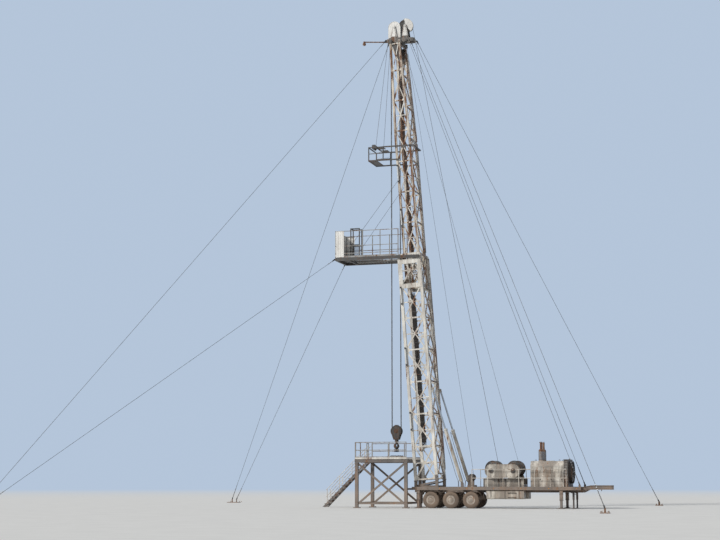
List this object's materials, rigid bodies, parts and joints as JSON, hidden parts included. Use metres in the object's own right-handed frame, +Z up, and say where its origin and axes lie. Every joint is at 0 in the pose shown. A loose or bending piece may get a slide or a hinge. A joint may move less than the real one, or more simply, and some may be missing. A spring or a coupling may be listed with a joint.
{
  "type": "mobile oil drilling rig",
  "caption": "Guyed drilling rig with a leaning telescoping lattice mast, crown, travelling block, tubing board and work floor behind a wheeled trailer.",
  "frame": {"origin": "well centre at ground level", "axes": "+Z up, +X from the well towards the trailer, +Y away from the pictured side"},
  "size_m": [35.2, 39.5, 32.7319],
  "materials": {
    "mast_paint": "weathered off-white paint with rust runs and dirt",
    "guard_paint": "off-white paint, lightly soiled",
    "dark_paint": "dark worn paint",
    "board_paint": "grey worn paint",
    "panel_sheet": "off-white sheet, soiled",
    "trailer_paint": "dark grey worn paint with dust",
    "machine_paint": "off-white paint with oil and dust",
    "deck_plate": "worn chequered steel plate",
    "wire_rope": "dark greased wire rope",
    "sheave_iron": "dark iron, bright in the groove",
    "drum_iron": "dark greased iron",
    "block_paint": "dark oily paint",
    "rusty_steel": "rusted steel",
    "ram_steel": "off-white barrels with bright rods",
    "lamp_housing": "dark cast housing",
    "tyre_rubber": "dusty rubber"
  },
  "bodies": {
    "root": {"lower_mast_near_side": "mast_paint", "lower_mast_far_side": "mast_paint", "lower_mast_back": "mast_paint", "mast_lock_pawls": "dark_paint", "upper_mast_near_side": "mast_paint", "upper_mast_far_side": "mast_paint", "upper_mast_back": "mast_paint", "mast_ladders": "mast_paint", "crown_frame": "mast_paint", "front_sheave_guard": "guard_paint", "rear_sheave_guard": "guard_paint", "crown_arm": "rusty_steel", "crown_rope_wraps": "wire_rope", "rod_basket": "dark_paint", "rod_fingers": "dark_paint", "basket_floodlight": "lamp_housing", "board_frame": "dark_paint", "racking_fingers": "board_paint", "board_walkway": "board_paint", "board_rails": "board_paint", "board_end_panel": "panel_sheet", "derrick_cage": "dark_paint", "guy_lines": "wire_rope", "load_guy_lines": "wire_rope", "guy_anchors": "rusty_steel", "fast_line": "wire_rope", "dead_line": "wire_rope", "winch_lines": "wire_rope", "mast_stand": "trailer_paint", "raising_rams": "ram_steel", "trailer_frame": "trailer_paint", "trailer_neck": "trailer_paint", "tugger_stand": "trailer_paint", "trailer_deck": "deck_plate", "axles": "trailer_paint", "tyres": "tyre_rubber", "levelling_jacks": "trailer_paint", "drawworks_frame": "machine_paint", "winch_drums": "drum_iron", "engine_housing": "machine_paint", "radiator": "dark_paint", "exhaust_stacks": "rusty_steel", "fuel_tanks": "machine_paint", "substructure": "trailer_paint", "work_floor": "deck_plate", "rotary_table": "drum_iron", "floor_rails": "board_paint", "floor_stair": "deck_plate"},
    "crown_sheaves": {"crown_sheaves": "sheave_iron"},
    "fast_line_sheave": {"fast_line_sheave": "sheave_iron"},
    "travelling_block": {"travelling_block": "block_paint", "block_rope_wraps": "wire_rope", "drilling_lines": "wire_rope"},
    "block_sheaves": {"block_sheaves": "sheave_iron"},
    "hook": {"hook": "block_paint", "elevator_links": "block_paint", "elevators": "block_paint"}
  },
  "joints": [
    {"name": "block_travel", "type": "slide", "parent": "root", "child": "travelling_block", "axis": [0, 0, 1], "range_m": [0, 24], "deforming": ["drilling_lines"]},
    {"name": "hook_swivel", "type": "hinge", "parent": "travelling_block", "child": "hook", "pos_m": [0, 0, 4.2], "axis": [0, 0, 1], "continuous": true},
    {"name": "block_sheaves_spin", "type": "hinge", "parent": "travelling_block", "child": "block_sheaves", "pos_m": [0, 0, 4.95], "axis": [0, 1, 0], "continuous": true},
    {"name": "crown_sheaves_spin", "type": "hinge", "parent": "root", "child": "crown_sheaves", "pos_m": [0, 0, 32.15], "axis": [0, 1, 0], "continuous": true},
    {"name": "fast_sheave_spin", "type": "hinge", "parent": "root", "child": "fast_line_sheave", "pos_m": [0.762, -0.135, 32.2], "axis": [0, 1, 0], "continuous": true}
  ]
}
